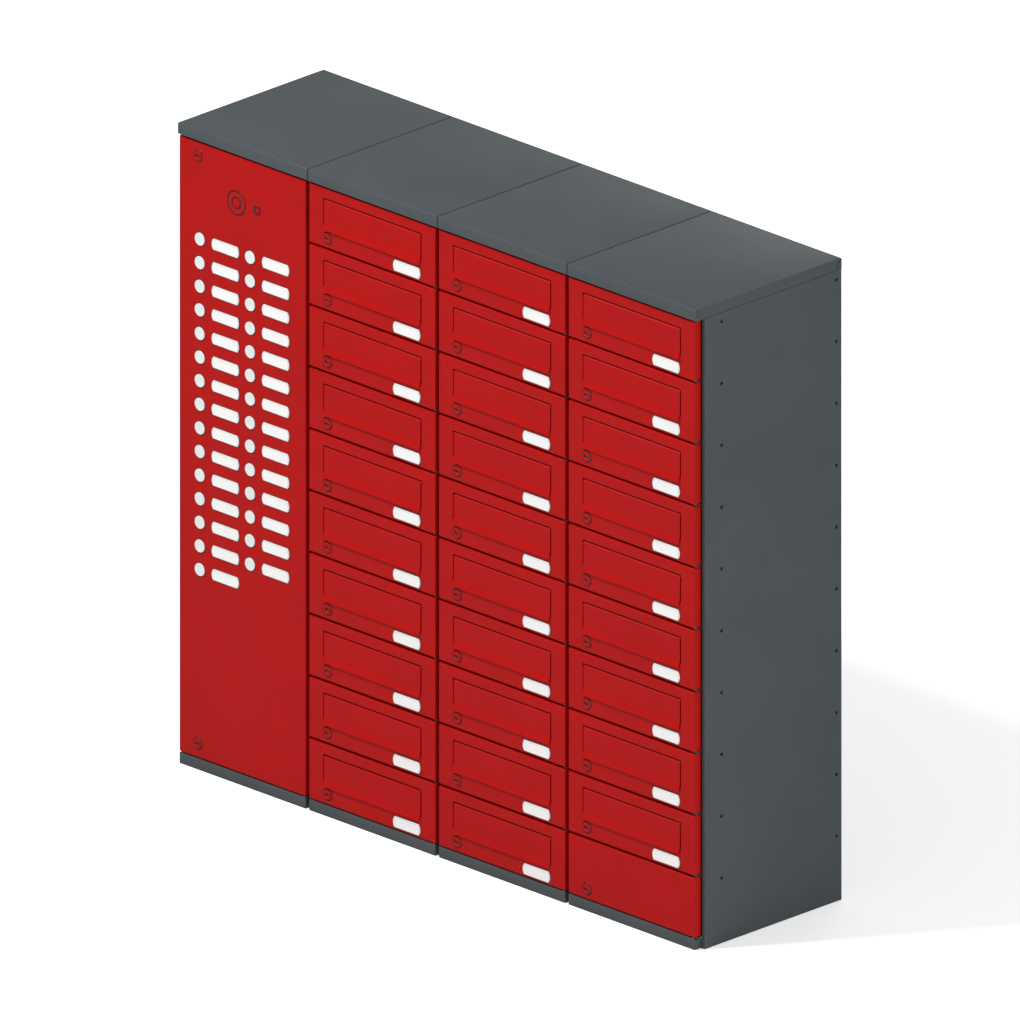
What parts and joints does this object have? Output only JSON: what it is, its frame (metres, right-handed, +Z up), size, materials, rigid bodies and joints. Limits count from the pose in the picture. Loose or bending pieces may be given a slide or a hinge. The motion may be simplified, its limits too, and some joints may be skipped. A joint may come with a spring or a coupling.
{
  "type": "parcel locker",
  "caption": "Wall letterbox bank of sheet steel: red doors with post flaps, locks and name plates, a full-height bell door, grey casing and roof.",
  "frame": {"origin": "middle of the bounding box's underside", "axes": "+Z up, the doors face -Y, +X to the right as seen from the front"},
  "size_m": [1.218, 0.341, 1.1415],
  "materials": {
    "casing": "anthracite powder coat, fine texture",
    "red": "red powder coat, satin",
    "white": "smooth",
    "steel": "nickel plated",
    "rivet": "painted steel",
    "black_plastic": "moulded",
    "rubber": "matt",
    "lens": "polished"
  },
  "bodies": {
    "bank": {"side_panels": "casing", "partition_walls": "casing", "back_panels": "casing", "roof_caps": "casing", "base_fascias": "casing", "shelves": "casing", "hinge_pins": "steel", "rivets": "rivet", "roof_screws": "steel", "bell_electronics": "black_plastic", "cable_grommet": "rubber"},
    "bell_door_leaf": {"bell_door": "red", "bell_name_plates": "white", "bell_button_sockets": "black_plastic", "reader_module": "black_plastic", "led_window": "lens"},
    "bell_buttons": {"bell_buttons": "white"},
    "bell_lock_top": {"bell_lock_top": "steel"},
    "bell_lock_bottom": {"bell_lock_bottom": "steel"},
    "door_c2_r10": {"door_c2_r10": "red"},
    "flap_c2_r10": {"flap_c2_r10": "red"},
    "door_c2_r09": {"door_c2_r09": "red"},
    "flap_c2_r09": {"flap_c2_r09": "red"},
    "door_c2_r08": {"door_c2_r08": "red"},
    "flap_c2_r08": {"flap_c2_r08": "red"},
    "door_c2_r07": {"door_c2_r07": "red"},
    "flap_c2_r07": {"flap_c2_r07": "red"},
    "door_c2_r06": {"door_c2_r06": "red"},
    "flap_c2_r06": {"flap_c2_r06": "red"},
    "door_c2_r05": {"door_c2_r05": "red"},
    "flap_c2_r05": {"flap_c2_r05": "red"},
    "door_c2_r04": {"door_c2_r04": "red"},
    "flap_c2_r04": {"flap_c2_r04": "red"},
    "door_c2_r03": {"door_c2_r03": "red"},
    "flap_c2_r03": {"flap_c2_r03": "red"},
    "door_c2_r02": {"door_c2_r02": "red"},
    "flap_c2_r02": {"flap_c2_r02": "red"},
    "door_c2_r01": {"door_c2_r01": "red"},
    "flap_c2_r01": {"flap_c2_r01": "red"},
    "door_c3_r10": {"door_c3_r10": "red"},
    "door_c3_r09": {"door_c3_r09": "red"},
    "door_c3_r08": {"door_c3_r08": "red"},
    "door_c3_r07": {"door_c3_r07": "red"},
    "door_c3_r06": {"door_c3_r06": "red"},
    "door_c3_r05": {"door_c3_r05": "red"},
    "door_c3_r04": {"door_c3_r04": "red"},
    "door_c3_r03": {"door_c3_r03": "red"},
    "door_c3_r02": {"door_c3_r02": "red"},
    "door_c3_r01": {"door_c3_r01": "red"},
    "service_door": {"service_door": "red"},
    "service_lock": {"service_lock": "steel"},
    "door_c4_r09": {"door_c4_r09": "red"},
    "door_c4_r08": {"door_c4_r08": "red"},
    "door_c4_r07": {"door_c4_r07": "red"},
    "door_c4_r06": {"door_c4_r06": "red"},
    "door_c4_r05": {"door_c4_r05": "red"},
    "door_c4_r04": {"door_c4_r04": "red"},
    "door_c4_r03": {"door_c4_r03": "red"},
    "door_c4_r02": {"door_c4_r02": "red"},
    "door_c4_r01": {"door_c4_r01": "red"}
  },
  "joints": [
    {"name": "bell_door_hinge", "type": "hinge", "parent": "bank", "child": "bell_door_leaf", "pos_m": [-0.3167, -0.1595, 0.5696], "axis": [0, 0, 1], "range_deg": [0, 110]},
    {"name": "bell_button_press", "type": "slide", "parent": "bell_door_leaf", "child": "bell_buttons", "axis": [0, 1, 0], "range_m": [0, 0.0015], "stiffness_N_per_m": 2000},
    {"name": "bell_lock_top_turn", "type": "hinge", "parent": "bell_door_leaf", "child": "bell_lock_top", "pos_m": [-0.565, -0.1665, 1.0922], "axis": [0, 1, 0], "range_deg": [0, 90]},
    {"name": "bell_lock_bottom_turn", "type": "hinge", "parent": "bell_door_leaf", "child": "bell_lock_bottom", "pos_m": [-0.565, -0.1665, 0.047], "axis": [0, -1, 0], "range_deg": [0, 90]},
    {"name": "hinge_c2_r10", "type": "hinge", "parent": "bank", "child": "door_c2_r10", "pos_m": [-0.0127, -0.1595, 0.0746], "axis": [0, 0, 1], "range_deg": [0, 110]},
    {"name": "swing_c2_r10", "type": "hinge", "parent": "door_c2_r10", "child": "flap_c2_r10", "pos_m": [-0.1563, -0.1635, 0.1032], "axis": [-1, 0, 0], "range_deg": [0, 75]},
    {"name": "hinge_c2_r09", "type": "hinge", "parent": "bank", "child": "door_c2_r09", "pos_m": [-0.0127, -0.1595, 0.1846], "axis": [0, 0, 1], "range_deg": [0, 110]},
    {"name": "swing_c2_r09", "type": "hinge", "parent": "door_c2_r09", "child": "flap_c2_r09", "pos_m": [-0.1563, -0.1635, 0.2132], "axis": [-1, 0, 0], "range_deg": [0, 75]},
    {"name": "hinge_c2_r08", "type": "hinge", "parent": "bank", "child": "door_c2_r08", "pos_m": [-0.0127, -0.1595, 0.2946], "axis": [0, 0, 1], "range_deg": [0, 110]},
    {"name": "swing_c2_r08", "type": "hinge", "parent": "door_c2_r08", "child": "flap_c2_r08", "pos_m": [-0.1563, -0.1635, 0.3232], "axis": [-1, 0, 0], "range_deg": [0, 75]},
    {"name": "hinge_c2_r07", "type": "hinge", "parent": "bank", "child": "door_c2_r07", "pos_m": [-0.0127, -0.1595, 0.4046], "axis": [0, 0, 1], "range_deg": [0, 110]},
    {"name": "swing_c2_r07", "type": "hinge", "parent": "door_c2_r07", "child": "flap_c2_r07", "pos_m": [-0.1563, -0.1635, 0.4332], "axis": [-1, 0, 0], "range_deg": [0, 75]},
    {"name": "hinge_c2_r06", "type": "hinge", "parent": "bank", "child": "door_c2_r06", "pos_m": [-0.0127, -0.1595, 0.5146], "axis": [0, 0, 1], "range_deg": [0, 110]},
    {"name": "swing_c2_r06", "type": "hinge", "parent": "door_c2_r06", "child": "flap_c2_r06", "pos_m": [-0.1563, -0.1635, 0.5432], "axis": [-1, 0, 0], "range_deg": [0, 75]},
    {"name": "hinge_c2_r05", "type": "hinge", "parent": "bank", "child": "door_c2_r05", "pos_m": [-0.0127, -0.1595, 0.6246], "axis": [0, 0, 1], "range_deg": [0, 110]},
    {"name": "swing_c2_r05", "type": "hinge", "parent": "door_c2_r05", "child": "flap_c2_r05", "pos_m": [-0.1563, -0.1635, 0.6532], "axis": [-1, 0, 0], "range_deg": [0, 75]},
    {"name": "hinge_c2_r04", "type": "hinge", "parent": "bank", "child": "door_c2_r04", "pos_m": [-0.0127, -0.1595, 0.7346], "axis": [0, 0, 1], "range_deg": [0, 110]},
    {"name": "swing_c2_r04", "type": "hinge", "parent": "door_c2_r04", "child": "flap_c2_r04", "pos_m": [-0.1563, -0.1635, 0.7632], "axis": [-1, 0, 0], "range_deg": [0, 75]},
    {"name": "hinge_c2_r03", "type": "hinge", "parent": "bank", "child": "door_c2_r03", "pos_m": [-0.0127, -0.1595, 0.8446], "axis": [0, 0, 1], "range_deg": [0, 110]},
    {"name": "swing_c2_r03", "type": "hinge", "parent": "door_c2_r03", "child": "flap_c2_r03", "pos_m": [-0.1563, -0.1635, 0.8732], "axis": [-1, 0, 0], "range_deg": [0, 75]},
    {"name": "hinge_c2_r02", "type": "hinge", "parent": "bank", "child": "door_c2_r02", "pos_m": [-0.0127, -0.1595, 0.9546], "axis": [0, 0, 1], "range_deg": [0, 110]},
    {"name": "swing_c2_r02", "type": "hinge", "parent": "door_c2_r02", "child": "flap_c2_r02", "pos_m": [-0.1563, -0.1635, 0.9832], "axis": [-1, 0, 0], "range_deg": [0, 75]},
    {"name": "hinge_c2_r01", "type": "hinge", "parent": "bank", "child": "door_c2_r01", "pos_m": [-0.0127, -0.1595, 1.0646], "axis": [0, 0, 1], "range_deg": [0, 110]},
    {"name": "swing_c2_r01", "type": "hinge", "parent": "door_c2_r01", "child": "flap_c2_r01", "pos_m": [-0.1563, -0.1635, 1.0932], "axis": [-1, 0, 0], "range_deg": [0, 75]},
    {"name": "hinge_c3_r10", "type": "hinge", "parent": "bank", "child": "door_c3_r10", "pos_m": [0.2913, -0.1595, 0.0746], "axis": [0, 0, 1], "range_deg": [0, 110]},
    {"name": "hinge_c3_r09", "type": "hinge", "parent": "bank", "child": "door_c3_r09", "pos_m": [0.2913, -0.1595, 0.1846], "axis": [0, 0, 1], "range_deg": [0, 110]},
    {"name": "hinge_c3_r08", "type": "hinge", "parent": "bank", "child": "door_c3_r08", "pos_m": [0.2913, -0.1595, 0.2946], "axis": [0, 0, 1], "range_deg": [0, 110]},
    {"name": "hinge_c3_r07", "type": "hinge", "parent": "bank", "child": "door_c3_r07", "pos_m": [0.2913, -0.1595, 0.4046], "axis": [0, 0, 1], "range_deg": [0, 110]},
    {"name": "hinge_c3_r06", "type": "hinge", "parent": "bank", "child": "door_c3_r06", "pos_m": [0.2913, -0.1595, 0.5146], "axis": [0, 0, 1], "range_deg": [0, 110]},
    {"name": "hinge_c3_r05", "type": "hinge", "parent": "bank", "child": "door_c3_r05", "pos_m": [0.2913, -0.1595, 0.6246], "axis": [0, 0, 1], "range_deg": [0, 110]},
    {"name": "hinge_c3_r04", "type": "hinge", "parent": "bank", "child": "door_c3_r04", "pos_m": [0.2913, -0.1595, 0.7346], "axis": [0, 0, 1], "range_deg": [0, 110]},
    {"name": "hinge_c3_r03", "type": "hinge", "parent": "bank", "child": "door_c3_r03", "pos_m": [0.2913, -0.1595, 0.8446], "axis": [0, 0, 1], "range_deg": [0, 110]},
    {"name": "hinge_c3_r02", "type": "hinge", "parent": "bank", "child": "door_c3_r02", "pos_m": [0.2913, -0.1595, 0.9546], "axis": [0, 0, 1], "range_deg": [0, 110]},
    {"name": "hinge_c3_r01", "type": "hinge", "parent": "bank", "child": "door_c3_r01", "pos_m": [0.2913, -0.1595, 1.0646], "axis": [0, 0, 1], "range_deg": [0, 110]},
    {"name": "service_door_hinge", "type": "hinge", "parent": "bank", "child": "service_door", "pos_m": [0.5953, -0.1595, 0.0746], "axis": [0, 0, 1], "range_deg": [0, 110]},
    {"name": "service_lock_turn", "type": "hinge", "parent": "service_door", "child": "service_lock", "pos_m": [0.347, -0.1665, 0.0394], "axis": [0, -1, 0], "range_deg": [0, 90]},
    {"name": "hinge_c4_r09", "type": "hinge", "parent": "bank", "child": "door_c4_r09", "pos_m": [0.5953, -0.1595, 0.1846], "axis": [0, 0, 1], "range_deg": [0, 110]},
    {"name": "hinge_c4_r08", "type": "hinge", "parent": "bank", "child": "door_c4_r08", "pos_m": [0.5953, -0.1595, 0.2946], "axis": [0, 0, 1], "range_deg": [0, 110]},
    {"name": "hinge_c4_r07", "type": "hinge", "parent": "bank", "child": "door_c4_r07", "pos_m": [0.5953, -0.1595, 0.4046], "axis": [0, 0, 1], "range_deg": [0, 110]},
    {"name": "hinge_c4_r06", "type": "hinge", "parent": "bank", "child": "door_c4_r06", "pos_m": [0.5953, -0.1595, 0.5146], "axis": [0, 0, 1], "range_deg": [0, 110]},
    {"name": "hinge_c4_r05", "type": "hinge", "parent": "bank", "child": "door_c4_r05", "pos_m": [0.5953, -0.1595, 0.6246], "axis": [0, 0, 1], "range_deg": [0, 110]},
    {"name": "hinge_c4_r04", "type": "hinge", "parent": "bank", "child": "door_c4_r04", "pos_m": [0.5953, -0.1595, 0.7346], "axis": [0, 0, 1], "range_deg": [0, 110]},
    {"name": "hinge_c4_r03", "type": "hinge", "parent": "bank", "child": "door_c4_r03", "pos_m": [0.5953, -0.1595, 0.8446], "axis": [0, 0, 1], "range_deg": [0, 110]},
    {"name": "hinge_c4_r02", "type": "hinge", "parent": "bank", "child": "door_c4_r02", "pos_m": [0.5953, -0.1595, 0.9546], "axis": [0, 0, 1], "range_deg": [0, 110]},
    {"name": "hinge_c4_r01", "type": "hinge", "parent": "bank", "child": "door_c4_r01", "pos_m": [0.5953, -0.1595, 1.0646], "axis": [0, 0, 1], "range_deg": [0, 110]}
  ]
}
